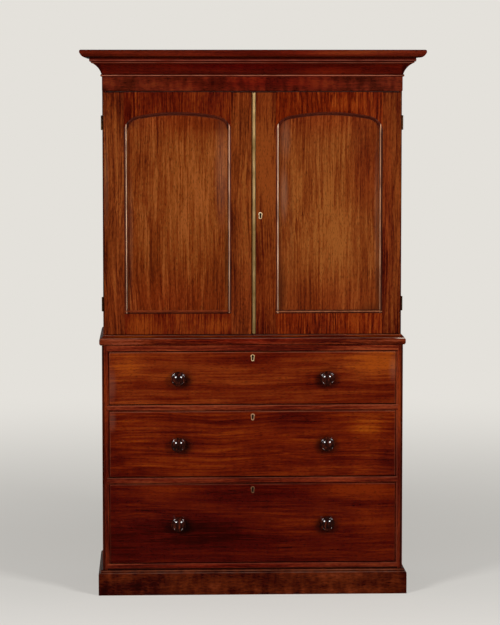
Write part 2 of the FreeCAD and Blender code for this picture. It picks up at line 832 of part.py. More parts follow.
def keyhole(x, z, grow, y0, y1):
    """Keyhole-shaped bar through a front: round head above, slot below."""
    head = rod(keyhole_head_radius + grow, Vector(x, y0, z), Vector(x, y1, z))
    half = keyhole_slot_half + grow
    slot = block(x - half, x + half, y0, y1, z - keyhole_drop, z)
    foot = rod(half, Vector(x, y0, z - keyhole_drop), Vector(x, y1, z - keyhole_drop))
    return join([head, slot, foot])


def escutcheon(x, z, face_y):
    """Brass thread let into the wood round a keyhole."""
    outer = keyhole(x, z, escutcheon_wall, face_y - escutcheon_proud, face_y + escutcheon_depth)
    return outer.cut(keyhole(x, z, 0.0, face_y - escutcheon_proud - overrun,
                             face_y + escutcheon_depth + overrun))


def rounded_slab(x0, x1, y0, y1, z0, z1, radius):
    """Slab with its four front edges rounded."""
    slab = block(x0, x1, y0, y1, z0, z1)
    edges = [edge for edge in slab.Edges if abs(edge.CenterOfMass.y - y0) < tiny]
    return slab.makeFillet(radius, edges)


def door(name, x0, x1, centre_x, recesses):
    """Framed door between two edges, its opening centred on centre_x."""
    slab = rounded_slab(x0, x1, door_front_y, door_back_y, door_bottom_z, door_top_z,
                        door_edge_round)
    slab = cut_all(slab, recesses)
    open_x0 = centre_x - opening_half
    open_x1 = centre_x + opening_half
    groove_y = door_front_y + panel_recess
    opening = arch_solid(centre_x, 0.0, door_front_y - overrun, door_back_y + overrun)
    groove = arch_solid(centre_x, panel_tongue + groove_clearance, groove_y,
                        groove_y + panel_thickness)
    frame = slab.cut(opening).cut(groove)
    middle = block(open_x0, open_x1, door_front_y, door_back_y, door_bottom_z, door_top_z)
    tenons = []
    for low, high in ((door_bottom_z + tenon_shoulder, opening_bottom_z - tenon_shoulder),
                      (crown_z + tenon_shoulder, door_top_z - tenon_shoulder)):
        for edge_x, sign in ((open_x0, -1), (open_x1, 1)):
            ends = sorted((edge_x, edge_x + sign * tenon_length))
            tenons.append(block(ends[0], ends[1], groove_y, groove_y + tenon_thickness, low, high))
    stiles = cut_all(frame.cut(middle), tenons)
    rails = frame.common(middle).Solids
    rails = sorted(rails, key=lambda solid: solid.CenterOfMass.z)
    rails = [join([rails[0]] + tenons[:2]), join([rails[1]] + tenons[2:])]
    keep(name + "_door_rails", rails)
    panel = arch_solid(centre_x, panel_tongue, groove_y, groove_y + panel_thickness)
    keep(name + "_door_panel", [panel])
    keep(name + "_door_moulding", panel_moulding(centre_x))
    return stiles


right_centre_x = door_half - right_outer_stile - opening_half
left_centre_x = -door_half + left_outer_stile + opening_half

# door lock let into the back of the right door's meeting stile
lock_z = door_bottom_z + door_lock_centre
lock_z0 = lock_z - door_lock_height / 2
lock_z1 = lock_z + door_lock_height / 2
lock_y0 = door_back_y - door_lock_depth
lock_x1 = right_meeting_x + door_lock_width
key_x = meeting_line_x + door_keyhole_from_edge
key_z = lock_z + keyhole_drop / 2
bolt_y0 = lock_y0 + (door_lock_depth - door_bolt_thickness) / 2
bolt_y1 = bolt_y0 + door_bolt_thickness
bolt_z0 = lock_z - door_bolt_height / 2
bolt_z1 = lock_z + door_bolt_height / 2
bolt_rest_x = right_meeting_x + door_bolt_set
slide = lock_slide_clearance
lock_case = block(right_meeting_x, lock_x1, lock_y0, door_back_y, lock_z0, lock_z1)
bolt_way = block(right_meeting_x - overrun, bolt_rest_x + door_bolt_length + slide,
                 bolt_y0 - slide, bolt_y1 + slide, bolt_z0 - slide, bolt_z1 + slide)
lock_key = keyhole(key_x, key_z, 0.0, door_front_y - overrun, bolt_y0)
door_lock = cut_all(lock_case, [bolt_way, lock_key])
door_escutcheon = escutcheon(key_x, key_z, door_front_y)
keep("door_lock", [door_lock, door_escutcheon])
keep("door_lock_bolt", [block(bolt_rest_x, bolt_rest_x + door_bolt_length,
                              bolt_y0, bolt_y1, bolt_z0, bolt_z1)])

right_recesses = door_recesses + [
    lock_case,
    lock_key,
    keyhole(key_x, key_z, escutcheon_wall, door_front_y - overrun,
            door_front_y + escutcheon_depth),
]
clear = mortise_clearance
left_mortise = block(left_meeting_x - door_bolt_throw - clear, left_meeting_x + overrun,
                     bolt_y0 - clear, bolt_y1 + clear, bolt_z0 - clear, bolt_z1 + clear)
left_recesses = [mirrored(piece) for piece in door_recesses] + [left_mortise]

right_stiles = door("right", right_meeting_x, door_half, right_centre_x, right_recesses)
left_stiles = door("left", -door_half, left_meeting_x, left_centre_x, left_recesses)
keep("right_door_stiles", right_stiles.Solids)
keep("left_door_stiles", left_stiles.Solids)

# rounded brass strip on the right door, along the meeting edge
strip_x0 = right_meeting_x + strip_offset
strip_x1 = strip_x0 + strip_width
strip_steps = [
    (strip_x0, door_front_y),
    (strip_x0, door_front_y - strip_edge),
    ((strip_x0 + strip_x1) / 2, door_front_y - strip_thickness,
     strip_x1, door_front_y - strip_edge),
    (strip_x1, door_front_y),
]
strip_low = door_bottom_z + strip_end_gap
keep("meeting_strip", [prism(strip_steps, lambda x, y: Vector(x, y, strip_low),
                             Vector(0, 0, door_top_z - strip_end_gap - strip_low))])


# ---- slide bolts ----
def slide_bolt(end_z, sign):
    """Plate with two staples, and its rod, reaching toward end_z."""
    tip = end_z - sign * slide_bolt_rest_gap
    tail = tip - sign * slide_bolt_length
    plate_tip = tip - sign * slide_bolt_rest_gap
    plate_tail = plate_tip - sign * bolt_plate_length
    z_low, z_high = sorted((plate_tip, plate_tail))
    half = bolt_plate_width / 2
    pieces = [block(rod_x - half, rod_x + half, door_back_y, door_back_y + bolt_plate_thickness,
                    z_low, z_high)]
    staple_radius = slide_bolt_radius + bolt_hole_clearance + bolt_staple_wall
    for offset in (0.0, bolt_plate_length - bolt_staple_length):
        ends = sorted((plate_tip - sign * offset, plate_tip - sign * (offset + bolt_staple_length)))
        pieces.append(rod(staple_radius, Vector(rod_x, rod_y, ends[0]),
                          Vector(rod_x, rod_y, ends[1])))
        pieces.append(block(rod_x - staple_radius, rod_x + staple_radius, door_back_y,
                            rod_y, ends[0], ends[1]))
    plate = join(pieces)
    bore = rod(slide_bolt_radius + bolt_hole_clearance, Vector(rod_x, rod_y, z_low - overrun),
               Vector(rod_x, rod_y, z_high + overrun))
    plate = plate.cut(bore)
    shaft = rod(slide_bolt_radius, Vector(rod_x, rod_y, min(tip, tail)),
                Vector(rod_x, rod_y, max(tip, tail)))
    middle_z = (plate_tip + plate_tail) / 2
    knob = rod(bolt_knob_radius, Vector(rod_x, rod_y, middle_z),
               Vector(rod_x, rod_y + bolt_knob_length, middle_z))
    return plate, join([shaft, knob])


top_plate, top_rod = slide_bolt(press_ceiling_z, 1)
bottom_plate, bottom_rod = slide_bolt(press_floor_z, -1)
keep("bolt_plates", [top_plate, bottom_plate])
keep("left_top_bolt", [top_rod])
keep("left_bottom_bolt", [bottom_rod])


# ---- drawers ----
def dovetails(count, low, high):
    """Right-hand side's tails: wedges that widen toward the front."""
    pitch = (high - low) / count
    base_y = chest_front_y + drawer_front_thickness
    tip_y = chest_front_y + drawer_lap
    x0 = chest_inner - drawer_side_gap - drawer_side_set - drawer_side_thickness
    tails = []
    for number in range(count):
        z0 = low + number * pitch + dovetail_pin_width / 2
        z1 = low + (number + 1) * pitch - dovetail_pin_width / 2
        points = [(base_y, z0 + dovetail_slope), (tip_y, z0), (tip_y, z1),
                  (base_y, z1 - dovetail_slope)]
        tails.append(prism(points, lambda y, z: Vector(x0, y, z),
                           Vector(drawer_side_thickness, 0, 0)))
    return tails


# the knob's domed face is part of a ball centred on its axis
dome_rise = knob_height - knob_face_height
dome_radius = (knob_groove_inner ** 2 + dome_rise ** 2) / (2 * dome_rise)
dome_turn = math.asin(knob_groove_inner / dome_radius) / 2
knob_throat = (knob_throat_radius, knob_throat_height)
knob_rim = (knob_radius, knob_rim_height)
knob_steps = [
    (0.0, -drawer_front_thickness),
    (knob_spigot_radius, -drawer_front_thickness),
    (knob_spigot_radius, 0.0),
    (knob_foot_radius, 0.0),
    (knob_foot_radius, knob_foot_height),
    (knob_neck_radius, knob_neck_height) + knob_throat,
    bowed(knob_throat, knob_rim, -knob_rim_sag),
    bowed(knob_rim, (knob_groove_outer, knob_face_height), -knob_shoulder_sag),
    ((knob_groove_outer + knob_groove_inner) / 2, knob_face_height - knob_groove_depth,
     knob_groove_inner, knob_face_height),
    (dome_radius * math.sin(dome_turn), knob_height - dome_radius * (1 - math.cos(dome_turn)),
     0.0, knob_height),
]


def turned_knob(x, z):
    """Turned knob on a spigot through the drawer front."""
    profile = outline(knob_steps, lambda radius, out: Vector(radius, chest_front_y - out, 0))
    knob = Part.Face(profile).revolve(Vector(0, 0, 0), Vector(0, 1, 0), 360)
    knob.translate(Vector(x, 0, z))
    return knob


def drawer(number, floor_z, ceiling_z, tail_count):
    """One long drawer, closed."""
    name = "drawer_%d_" % number
    half = chest_inner - drawer_side_gap
    low = floor_z + drawer_bottom_gap
    high = ceiling_z - drawer_top_gap
    front_back_y = chest_front_y + drawer_front_thickness
    end_y = chest_front_y + drawer_length
    side_outer = half - drawer_side_set
    side_inner = side_outer - drawer_side_thickness
    side_low = floor_z + drawer_running_gap
    side_high = high - drawer_side_top_drop
    bottom_z0 = floor_z + drawer_bottom_height
    bottom_z1 = bottom_z0 + drawer_bottom_thickness
    back_y0 = end_y - drawer_back_inset - drawer_back_thickness
    back_y1 = end_y - drawer_back_inset

    tails = dovetails(tail_count, low + dovetail_margin, side_high - dovetail_margin)
    side = join([block(side_inner, side_outer, front_back_y, end_y, side_low, side_high)] + tails)
    bottom = block(-side_inner - drawer_groove_depth, side_inner + drawer_groove_depth,
                   front_back_y - drawer_groove_depth, end_y, bottom_z0, bottom_z1)
    back = block(-side_inner - drawer_back_housing, side_inner + drawer_back_housing,
                 back_y0, back_y1, bottom_z1, high - drawer_back_top_drop)
    side = side.cut(back).cut(bottom)
    bottom = bottom.cut(block(side_inner, half, chest_front_y, front_back_y, floor_z, ceiling_z))
    bottom = bottom.cut(block(-half, -side_inner, chest_front_y, front_back_y, floor_z, ceiling_z))

    # lock let into the back of the front, its bolt rising through the top edge
    lock_half = drawer_lock_width / 2
    case_y0 = front_back_y - drawer_lock_depth
    lock = block(-lock_half, lock_half, case_y0, front_back_y, high - drawer_lock_height, high)
    tongue_half = drawer_bolt_width / 2
    tongue_y0 = case_y0 + (drawer_lock_depth - drawer_bolt_thickness) / 2
    tongue_top = high - drawer_bolt_set
    tongue = block(-tongue_half, tongue_half, tongue_y0, tongue_y0 + drawer_bolt_thickness,
                   tongue_top - drawer_bolt_length, tongue_top)
    way = block(-tongue_half - slide, tongue_half + slide, tongue_y0 - slide,
                tongue_y0 + drawer_bolt_thickness + slide,
                tongue_top - drawer_bolt_length - slide, high + overrun)
    head_z = high - drawer_key_drop
    key = keyhole(0.0, head_z, 0.0, chest_front_y - overrun, tongue_y0)
    seat = keyhole(0.0, head_z, escutcheon_wall, chest_front_y - overrun,
                   chest_front_y + escutcheon_depth)

    knob_z = (low + high) / 2
    knobs = [turned_knob(side_x, knob_z) for side_x in (-knob_distance, knob_distance)]
    holes = [rod(knob_spigot_radius + knob_spigot_clearance,
                 Vector(x, chest_front_y - overrun, knob_z),
                 Vector(x, front_back_y + overrun, knob_z)) for x in (-knob_distance, knob_distance)]
    front = rounded_slab(-half, half, chest_front_y, front_back_y, low, high, drawer_edge_round)
    front = cut_all(front, tails + [mirrored(tail) for tail in tails])
    front = cut_all(front, [bottom, lock, key, seat] + holes)

    keep(name + "front", [front])
    keep(name + "box", [side, mirrored(side), back])
    keep(name + "bottom", [bottom])
    keep(name + "knobs", knobs)
    keep(name + "lock", [cut_all(lock, [way, key]), escutcheon(0.0, head_z, chest_front_y)])
    keep(name + "bolt", [tongue])


for index in range(3):
    drawer(index + 1, drawer_floors[index], drawer_ceilings[index], dovetail_counts[index])


# ---- linen trays, top one first ----
def tray(number, floor_z):
    """Shallow sliding tray with a dipped front."""
    half = press_inner - tray_side_gap
    low = floor_z + tray_running_gap
    high = low + tray_side_height
    dip = low + tray_dip_height
    y0 = case_front_y + tray_front_setback
    y1 = y0 + tray_length
    shoulder = tray_dip_half + tray_dip_run
    halfway = (tray_dip_half + tray_dip_run / 2, (high + dip) / 2)
    far_halfway = (-halfway[0], halfway[1])
    front_steps = [
        (-half, low), (half, low), (half, high), (shoulder, high),
        bowed((shoulder, high), halfway, -tray_dip_sag),
        bowed(halfway, (tray_dip_half, dip), tray_dip_sag),
        (-tray_dip_half, dip),
        bowed((-tray_dip_half, dip), far_halfway, tray_dip_sag),
        bowed(far_halfway, (-shoulder, high), -tray_dip_sag),
        (-half, high),
    ]
    front = prism(front_steps, lambda x, z: Vector(x, y0, z), Vector(0, tray_front_thickness, 0))
    side_front = y0 + tray_front_thickness - tray_housing
    side = block(half - tray_wall, half, side_front, y1, low, high)
    inner = half - tray_wall + tray_housing
    back = block(-inner, inner, y1 - tray_wall, y1, low, high)
    z0 = low + tray_bottom_height
    bottom = block(-inner, inner, side_front, y1 - tray_wall + tray_housing,
                   z0, z0 + tray_bottom_thickness)
    front = front.cut(side).cut(mirrored(side)).cut(bottom)
    side = side.cut(back).cut(bottom)
    back = back.cut(bottom)
    keep("tray_%d" % number, [front, side, mirrored(side), back, bottom])


for index in range(tray_count):
    tray(tray_count - index, tray_floors[index])

# ---- one file per node ----
os.makedirs("parts", exist_ok=True)
for name, solids in nodes.items():
    shape = solids[0] if len(solids) == 1 else Part.makeCompound(solids)
    shape.exportStep("parts/%s.step" % name)
print(len(nodes), "nodes")
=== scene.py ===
import math

import bpy
from mathutils import Matrix

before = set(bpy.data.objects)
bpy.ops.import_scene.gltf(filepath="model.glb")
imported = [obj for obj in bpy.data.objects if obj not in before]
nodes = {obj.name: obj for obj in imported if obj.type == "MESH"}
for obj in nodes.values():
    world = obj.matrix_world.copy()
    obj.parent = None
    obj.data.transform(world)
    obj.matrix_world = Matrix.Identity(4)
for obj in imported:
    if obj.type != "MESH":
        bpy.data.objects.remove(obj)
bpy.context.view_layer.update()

MM = 0.001
EVERYWHERE = 1e9             # a reach in mm that takes in the whole press
CREVICE_SHADE = "#1c0602"            # painted shade in the sunk lines, the gaps and the creases
BACKDROP = "#e4e1db"         # pale warm grey behind the press
# sockets of the Mix node, by number: its colours, and its vectors
SHARE, UNDER, OVER, MIXED = 0, 6, 7, 2
FIRST, SECOND, CHOSEN = 4, 5, 1


# ---- tools for materials ----
def colour(hex_code):
    """Linear colour, with full alpha, of an sRGB hex value."""
    parts = [int(hex_code[start:start + 2], 16) / 255 for start in (1, 3, 5)]
    return [part / 12.92 if part <= 0.04045 else ((part + 0.055) / 1.055) ** 2.4 for part in parts] + [1.0]


def add(tree, kind, inputs=None, stops=(), **settings):
    """Add a node, set it up, and feed its sockets with values or with other sockets.
    stops are the (position, hex) pairs of a colour ramp."""
    node = tree.nodes.new(kind)
    for key, value in settings.items():
        setattr(node, key, value)
    for key, value in (inputs or {}).items():
        if isinstance(value, bpy.types.NodeSocket):
            tree.links.new(value, node.inputs[key])
        else:
            node.inputs[key].default_value = value
    if stops:
        elements = node.color_ramp.elements
        while len(elements) < len(stops):
            elements.new(0.5)
        for element, (position, code) in zip(elements, stops):
            element.position = position
            element.color = colour(code)
    return node


def shaded(name):
    """New material with a bare shader; returns the material, its tree and the shader."""
    material = bpy.data.materials.new(name)
    material.use_nodes = True
    tree = material.node_tree
    tree.nodes.clear()
    shader = add(tree, "ShaderNodeBsdfPrincipled")
    add(tree, "ShaderNodeOutputMaterial", {"Surface": shader.outputs[0]})
    return material, tree, shader


def evenly(tones):
    """Ramp stops at equal steps, from the darkest tone to the lightest."""
    return [(number / (len(tones) - 1), tone) for number, tone in enumerate(tones)]


def stretched(along, length, width):
    """Pattern scale for marks of a given length along the grain and width across it, in mm."""
    scale = [1000 / width] * 3
    scale["XYZ".index(along)] = 1000 / length
    return scale


def box(piece):
    """Lower left front corner of a CAD node, and its width, depth and height, all in mm."""
    corners = nodes[piece].bound_box
    low = [min(corner[axis] for corner in corners) / MM for axis in range(3)]
    high = [max(corner[axis] for corner in corners) / MM for axis in range(3)]
    return low, [far - near for near, far in zip(low, high)]


def from_corner(tree, place, piece):
    """Places on a piece, measured from its lower left front corner."""
    corner = [-distance * MM for distance in box(piece)[0]]
    return add(tree, "ShaderNodeVectorMath", {0: place, 1: corner}).outputs[0]


def soft_oval(tree, own, centre, reach):
    """Soft oval, 1 at its middle and 0 at its rim.  centre is (across, up) from the piece's corner and
    reach (across, up), with a third value where the oval goes no deeper than that; all in mm."""
    depth = reach[2] if len(reach) == 3 else EVERYWHERE
    centre, reach = (centre[0], 0.0, centre[1]), (reach[0], depth, reach[1])
    at = add(tree, "ShaderNodeMapping", {"Vector": own, "Scale": [1 / (MM * size) for size in reach],
                                         "Location": [-far / size for far, size in zip(centre, reach)]})
    away = add(tree, "ShaderNodeVectorMath", {0: at.outputs[0]}, operation="LENGTH")
    return add(tree, "ShaderNodeMapRange", {"Value": away.outputs["Value"], "From Min": 1.0, "From Max": 0.1},
               interpolation_type="SMOOTHSTEP").outputs[0]


def soft_line(tree, distance, middle, half):
    """Soft stripe square to one axis, 1 on its middle line and 0 past its half width, in mm; distance is
    the socket that measures along that axis."""
    core = 0.3 * half
    away = add(tree, "ShaderNodeMath", {0: distance, 1: -middle * MM})
    size = add(tree, "ShaderNodeMath", {0: away.outputs[0]}, operation="ABSOLUTE")
    return add(tree, "ShaderNodeMapRange",
               {"Value": size.outputs[0], "From Min": half * MM, "From Max": core * MM},
               interpolation_type="SMOOTHSTEP").outputs[0]


# French-polished Cuban mahogany: ribbon stripes that come and go along the grain, fine streaks,
# short dark pores, and a thin glossy shellac film over them.
def mahogany(piece, name, along, tones, seed, ribbon=(600, 24), stripe=(320, 9),
             shares=(1.0, 0.7, 1.3, 1.6, 0.5), curl=0.0, gloss=0.11, shine=0.42,
             patches=(), redder=(), sheen_and_shade=(), bands=(), bare_above=None):
    """tones run from the darkest streak to the lightest; ribbon and stripe are (length, width) in mm;
    shares weigh clouds, ribbons, stripes, streaks and flecks, and curl the curly figure.
    patches are (centre, reach, lightening), redder is (centre, reach, share) where the colour turns a deeper
    red,
    sheen_and_shade is (centre, reach, colour, share): painted sheen, painted highlight and painted shade, and
    bands are (axis, middle, half width, colour, share): painted highlights and painted shade along edges.
    Their places, and the height bare_above, are in mm from the piece's lower left front corner."""
    material, tree, shader = shaded(name)
    place = add(tree, "ShaderNodeTexCoord").outputs["Object"]
    own = from_corner(tree, place, piece)
    axes = add(tree, "ShaderNodeSeparateXYZ", {0: own})
    # the grain wanders by up to about 10 mm, in waves about 455 mm long
    sway = [40 * MM] * 3
    wander = add(tree, "ShaderNodeTexNoise", {"Vector": place, "Scale": 1000 / 455, "Detail": 1.0})
    drift = add(tree, "ShaderNodeVectorMath", {0: wander.outputs["Color"], 1: (-0.5, -0.5, -0.5)})
    bent = add(tree, "ShaderNodeVectorMath", {0: drift.outputs[0], 1: sway, 2: place},
               operation="MULTIPLY_ADD").outputs[0]

    def marks(length, width, detail, shift, rough=0.5):
        """Marks in the wood, length by width in mm; shift takes them from another part of the noise."""
        at = add(tree, "ShaderNodeMapping",
                 {"Vector": bent, "Scale": stretched(along, length, width),
                  "Location": (seed * 7.3 + shift, seed * 3.1, seed * 5.7 + shift)})
        return add(tree, "ShaderNodeTexNoise", {"Vector": at.outputs[0], "Scale": 1.0, "Detail": detail,
                                                "Roughness": rough}).outputs[0]

    clouds = marks(520, 150, 2.0, 0.0)
    # the fine streaks stand out in some parts of the board and fade in others
    streaks = add(tree, "ShaderNodeMath", {0: marks(230, 4.4, 1.5, 23.0, 0.6), 1: -0.5})
    strength = add(tree, "ShaderNodeMapRange", {"Value": marks(260, 45, 1.0, 83.0), "From Min": 0.35,
                                                "From Max": 0.65, "To Min": 0.35, "To Max": 1.4})
    streaks = add(tree, "ShaderNodeMath", {0: streaks.outputs[0], 1: strength.outputs[0]},
                  operation="MULTIPLY")
    cloud_share, ribbon_share, stripe_share, streak_share, fleck_share = shares
    figure = [(clouds, cloud_share), (marks(*ribbon, 2.0, 11.0), ribbon_share),
              (marks(*stripe, 2.0, 17.0, 0.6), stripe_share), (streaks.outputs[0], streak_share),
              (marks(18, 3.8, 0.0, 31.0), fleck_share)]
    if curl:
        # curly figure: soft bars across the grain, where the fibres rise and dip
        figure.append((marks(30, 80, 2.0, 41.0), curl))
    figure += [(soft_oval(tree, own, centre, reach), lightening) for centre, reach, lightening in patches]
    # noise lies round 0.5, so this start brings the sum to the middle tone; the streaks lie round 0
    value = 0.5 - (cloud_share + ribbon_share + stripe_share + fleck_share + curl) / 2
    for layer, share in figure:
        value = add(tree, "ShaderNodeMath", {0: layer, 1: share, 2: value},
                    operation="MULTIPLY_ADD").outputs[0]
    body = add(tree, "ShaderNodeValToRGB", {0: value}, stops=evenly(tones)).outputs[0]
    for centre, reach, share in redder:
        kept = add(tree, "ShaderNodeMath", {0: soft_oval(tree, own, centre, reach), 1: share},
                   operation="MULTIPLY")
        body = add(tree, "ShaderNodeMix", {SHARE: kept.outputs[0], UNDER: body, OVER: colour("#ffc4bb")},
                   data_type="RGBA", blend_type="MULTIPLY").outputs[MIXED]
    # pores, drawn 2 mm wide so that they show: dark dashes along the grain
    pores = add(tree, "ShaderNodeMapRange", {"Value": marks(12, 2.0, 0.0, 61.0), "From Min": 0.58,
                                             "From Max": 0.72, "To Min": 1.0, "To Max": 0.6})
    body = add(tree, "ShaderNodeMix", {SHARE: 1.0, UNDER: body, OVER: pores.outputs[0]}, data_type="RGBA",
               blend_type="MULTIPLY").outputs[MIXED]
    # ovals of a set colour: painted sheen where greyish, painted highlight where pale, painted shade where
    # dark
    for centre, reach, code, share in sheen_and_shade:
        film = add(tree, "ShaderNodeMath", {0: soft_oval(tree, own, centre, reach), 1: share},
                   operation="MULTIPLY")
        body = add(tree, "ShaderNodeMix", {SHARE: film.outputs[0], UNDER: body, OVER: colour(code)},
                   data_type="RGBA").outputs[MIXED]
    # lines along the edges: painted highlights, stronger or weaker here and there by noise, and painted shade
    # in the quirks and gaps
    band_strength = add(tree, "ShaderNodeMapRange", {"Value": marks(70, 25, 2.0, 71.0), "From Min": 0.35,
                                            "From Max": 0.6, "To Min": 0.45, "To Max": 1.0})
    for axis, middle, half, code, share in bands:
        line = add(tree, "ShaderNodeMath", {0: soft_line(tree, axes.outputs[axis], middle, half), 1: share},
                   operation="MULTIPLY").outputs[0]
        if code != CREVICE_SHADE:
            line = add(tree, "ShaderNodeMath", {0: line, 1: band_strength.outputs[0]}, operation="MULTIPLY").outputs[0]
        body = add(tree, "ShaderNodeMix", {SHARE: line, UNDER: body, OVER: colour(code)},
                   data_type="RGBA").outputs[MIXED]
    tree.links.new(body, shader.inputs["Base Color"])
    rough = add(tree, "ShaderNodeMapRange", {"Value": clouds, "From Min": 0.3, "From Max": 0.7,
                                             "To Min": gloss, "To Max": gloss + 0.05}).outputs[0]
    if bare_above is not None:
        # the upper face that nobody sees was never polished
        bare = add(tree, "ShaderNodeMath", {0: axes.outputs["Z"], 1: bare_above * MM},
                   operation="GREATER_THAN")
        unpolished = add(tree, "ShaderNodeMath", {0: bare.outputs[0], 1: 0.9}, operation="MULTIPLY")
        rough = add(tree, "ShaderNodeMath", {0: unpolished.outputs[0], 1: rough},
                    operation="MAXIMUM").outputs[0]
    tree.links.new(rough, shader.inputs["Roughness"])
    shader.inputs["IOR"].default_value = 1.5
    shader.inputs["Specular IOR Level"].default_value = shine
    bump = add(tree, "ShaderNodeBump", {"Height": pores.outputs[0], "Strength": 0.25, "Distance": 0.2 * MM})
    tree.links.new(bump.outputs[0], shader.inputs["Normal"])
    return material


# Bare softwood or cedar, planed and left unpolished: growth rings drawn out along the board, no shine.
def plain_wood(name, along, tones, seed, lipping=None, turned=None):
    """In front of the depth lipping, in mm, the wood is dark, like the doors.
    turned is (axis, limit in mm, grain): boards that stand further out than the limit have that grain."""
    material, tree, shader = shaded(name)
    place = add(tree, "ShaderNodeTexCoord").outputs["Object"]
    axes = add(tree, "ShaderNodeSeparateXYZ", {0: place})
    ring = (420, 18)             # length and width of the marks, in mm
    at = add(tree, "ShaderNodeMapping", {"Vector": place, "Scale": stretched(along, *ring),
                                         "Location": (seed, seed * 2.0, seed * 3.0)}).outputs[0]
    if turned:
        axis, limit, grain = turned
        out = add(tree, "ShaderNodeMath", {0: axes.outputs[axis]}, operation="ABSOLUTE")
        beyond = add(tree, "ShaderNodeMath", {0: out.outputs[0], 1: limit * MM}, operation="GREATER_THAN")
        across = add(tree, "ShaderNodeMapping", {"Vector": place, "Scale": stretched(grain, *ring)})
        at = add(tree, "ShaderNodeMix", {SHARE: beyond.outputs[0], FIRST: at, SECOND: across.outputs[0]},
                 data_type="VECTOR").outputs[CHOSEN]
    rings = add(tree, "ShaderNodeTexNoise", {"Vector": at, "Scale": 1.0, "Detail": 4.0,
                                             "Roughness": 0.6, "Distortion": 0.4})
    spread = add(tree, "ShaderNodeMapRange", {"Value": rings.outputs[0], "From Min": 0.35, "From Max": 0.65})
    body = add(tree, "ShaderNodeValToRGB", {0: spread.outputs[0]}, stops=evenly(tones)).outputs[0]
    if lipping is not None:
        front = add(tree, "ShaderNodeMapRange", {"Value": axes.outputs["Y"], "From Min": (lipping + 2) * MM,
                                                 "From Max": lipping * MM})
        body = add(tree, "ShaderNodeMix", {SHARE: front.outputs[0], UNDER: body, OVER: colour("#3c1206")},
                   data_type="RGBA").outputs[MIXED]
    tree.links.new(body, shader.inputs["Base Color"])
    shader.inputs["Roughness"].default_value = 0.6
    return material


# Lacquered cast and rolled brass, dulled by a century of hands: patchy, with a soft shine.
def aged_brass(name, tones, seed, roughness, stain=17):
    """tones run from the most tarnished to the most rubbed; stain is the size of the marks in mm."""
    material, tree, shader = shaded(name)
    place = add(tree, "ShaderNodeTexCoord").outputs["Object"]
    at = add(tree, "ShaderNodeMapping", {"Vector": place, "Location": (seed, seed, seed)})
    patches = add(tree, "ShaderNodeTexNoise", {"Vector": at.outputs[0], "Scale": 1000 / stain, "Detail": 4.0,
                                               "Roughness": 0.65})
    spread = add(tree, "ShaderNodeMapRange", {"Value": patches.outputs[0], "From Min": 0.32,
                                              "From Max": 0.68})
    body = add(tree, "ShaderNodeValToRGB", {0: spread.outputs[0]}, stops=list(zip((0.0, 0.55, 1.0), tones)))
    tree.links.new(body.outputs[0], shader.inputs["Base Color"])
    shader.inputs["Metallic"].default_value = 1.0
    rough = add(tree, "ShaderNodeMapRange", {"Value": patches.outputs[0], "From Min": 0.3, "From Max": 0.7,
                                             "To Min": roughness + 0.12, "To Max": roughness - 0.08})
    tree.links.new(rough.outputs[0], shader.inputs["Roughness"])
    return material


# Brass of the locks: a pale rubbed thread round the keyhole, and painted shade: black metal deeper inside and
# a dark ring round the hole.
def lock_brass(piece, name, hole, seed, tones):
    """hole is the middle of the keyhole, (across, up) in mm from the lock's lower left corner."""
    material, tree, shader = shaded(name)
    place = add(tree, "ShaderNodeTexCoord").outputs["Object"]
    own = from_corner(tree, place, piece)
    at = add(tree, "ShaderNodeMapping", {"Vector": place, "Location": (seed, seed, seed)})
    stain = 6.25                 # size of the marks, in mm
    patches = add(tree, "ShaderNodeTexNoise", {"Vector": at.outputs[0], "Scale": 1000 / stain, "Detail": 3.0})
    body = add(tree, "ShaderNodeValToRGB", {0: patches.outputs[0]}, stops=list(zip((0.3, 0.5, 0.7), tones)))
    # painted shade round the edge of the keyhole, so that the dark hole looks wider
    keyhole_shade = add(tree, "ShaderNodeMath", {0: soft_oval(tree, own, hole, (7.6, 15)), 1: 0.85},
                operation="MULTIPLY")
    body = add(tree, "ShaderNodeMix", {SHARE: keyhole_shade.outputs[0], UNDER: body.outputs[0],
                                       OVER: colour("#1c0f07")}, data_type="RGBA")
    # the thread stands 0.4 mm proud of the wood; a millimetre behind the wood's face all is painted black, as
    # shade inside the keyhole
    depth = add(tree, "ShaderNodeSeparateXYZ", {0: own}).outputs["Y"]
    inside = add(tree, "ShaderNodeMapRange", {"Value": depth, "From Min": 0.4 * MM, "From Max": 1.4 * MM})
    body = add(tree, "ShaderNodeMix", {SHARE: inside.outputs[0], UNDER: body.outputs[MIXED],
                                       OVER: colour("#0c0704")}, data_type="RGBA")
    tree.links.new(body.outputs[MIXED], shader.inputs["Base Color"])
    # the skin of tarnish on the thread scatters light as well as mirroring it
    shader.inputs["Metallic"].default_value = 0.4
    shader.inputs["Specular IOR Level"].default_value = 0.2
    rough = add(tree, "ShaderNodeMapRange", {"Value": patches.outputs[0], "From Min": 0.3, "From Max": 0.7,
                                             "To Min": 0.56, "To Max": 0.42})
    tree.links.new(rough.outputs[0], shader.inputs["Roughness"])
    return material


# Turned mahogany stained nearly black and polished bright; the red wood shows through where hands rub it.
def knob_polish(name, seed):
    material, tree, shader = shaded(name)
    place = add(tree, "ShaderNodeTexCoord").outputs["Object"]
    at = add(tree, "ShaderNodeMapping", {"Vector": place, "Scale": stretched("Z", 26, 7),
                                         "Location": (seed, seed, seed)})
    grain = add(tree, "ShaderNodeTexNoise", {"Vector": at.outputs[0], "Scale": 1.0, "Detail": 3.0})
    body = add(tree, "ShaderNodeValToRGB", {0: grain.outputs[0]},
               stops=[(0.35, "#160604"), (0.55, "#2a0d07"), (0.72, "#5a2413")])
    tree.links.new(body.outputs[0], shader.inputs["Base Color"])
    shader.inputs["Roughness"].default_value = 0.14
    shader.inputs["IOR"].default_value = 1.52
    return material


